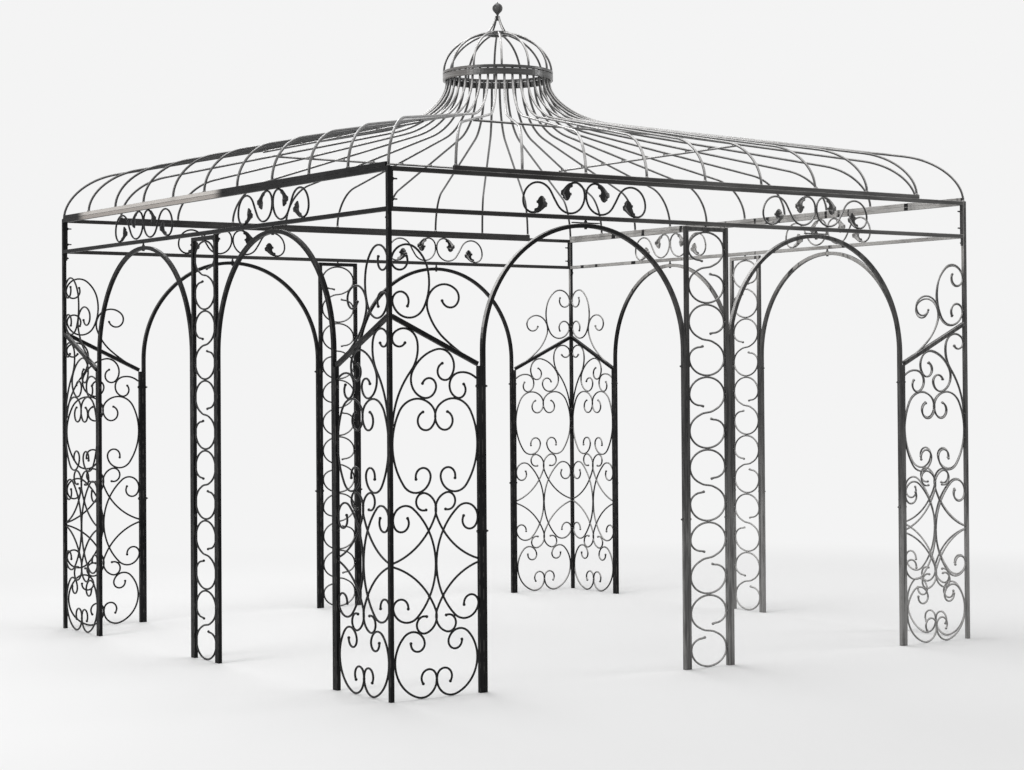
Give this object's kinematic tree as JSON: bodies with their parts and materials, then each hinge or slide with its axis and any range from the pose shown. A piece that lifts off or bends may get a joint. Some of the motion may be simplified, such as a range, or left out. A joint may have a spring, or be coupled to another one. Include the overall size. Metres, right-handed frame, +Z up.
{
  "type": "garden gazebo frame",
  "caption": "Square open garden gazebo of black wrought iron with scrolled corner panels, round arches, a caged roof and a small domed cupola.",
  "frame": {"origin": "on the ground at the centre of the square plan", "axes": "+Z up, -Y towards the front side, +X along the front to its right end"},
  "size_m": [3.548, 3.548, 3.4418],
  "materials": {
    "iron_tube": "satin black paint over square steel tube, thin and grey along the edges",
    "iron_bar": "satin black paint over hammered round bar",
    "roof_iron": "black paint worn to grey along the upper faces",
    "cast_finial": "dark cast finial with a fine grain"
  },
  "bodies": {
    "root": {"corner_post_front_left": "iron_tube", "corner_post_front_right": "iron_tube", "corner_post_back_right": "iron_tube", "corner_post_back_left": "iron_tube", "front_panel_left": "iron_tube", "front_panel_right": "iron_tube", "right_panel_left": "iron_tube", "right_panel_right": "iron_tube", "back_panel_left": "iron_tube", "back_panel_right": "iron_tube", "left_panel_left": "iron_tube", "left_panel_right": "iron_tube", "front_arch_left": "iron_tube", "front_arch_right": "iron_tube", "right_arch_left": "iron_tube", "right_arch_right": "iron_tube", "back_arch_left": "iron_tube", "back_arch_right": "iron_tube", "left_arch_left": "iron_tube", "left_arch_right": "iron_tube", "front_pier": "iron_tube", "right_pier": "iron_tube", "back_pier": "iron_tube", "left_pier": "iron_tube", "front_fascia": "iron_tube", "right_fascia": "iron_tube", "back_fascia": "iron_tube", "left_fascia": "iron_tube", "front_fascia_scrolls": "iron_bar", "right_fascia_scrolls": "iron_bar", "back_fascia_scrolls": "iron_bar", "left_fascia_scrolls": "iron_bar", "front_roof_bars": "roof_iron", "right_roof_bars": "roof_iron", "back_roof_bars": "roof_iron", "left_roof_bars": "roof_iron", "hip_bars": "roof_iron", "purlins": "roof_iron", "hangers": "iron_tube", "cupola_lower_ring": "roof_iron", "cupola_upper_ring": "roof_iron", "dome_cage": "roof_iron", "finial_stays": "roof_iron", "finial_ball": "cast_finial"}
  },
  "joints": []
}
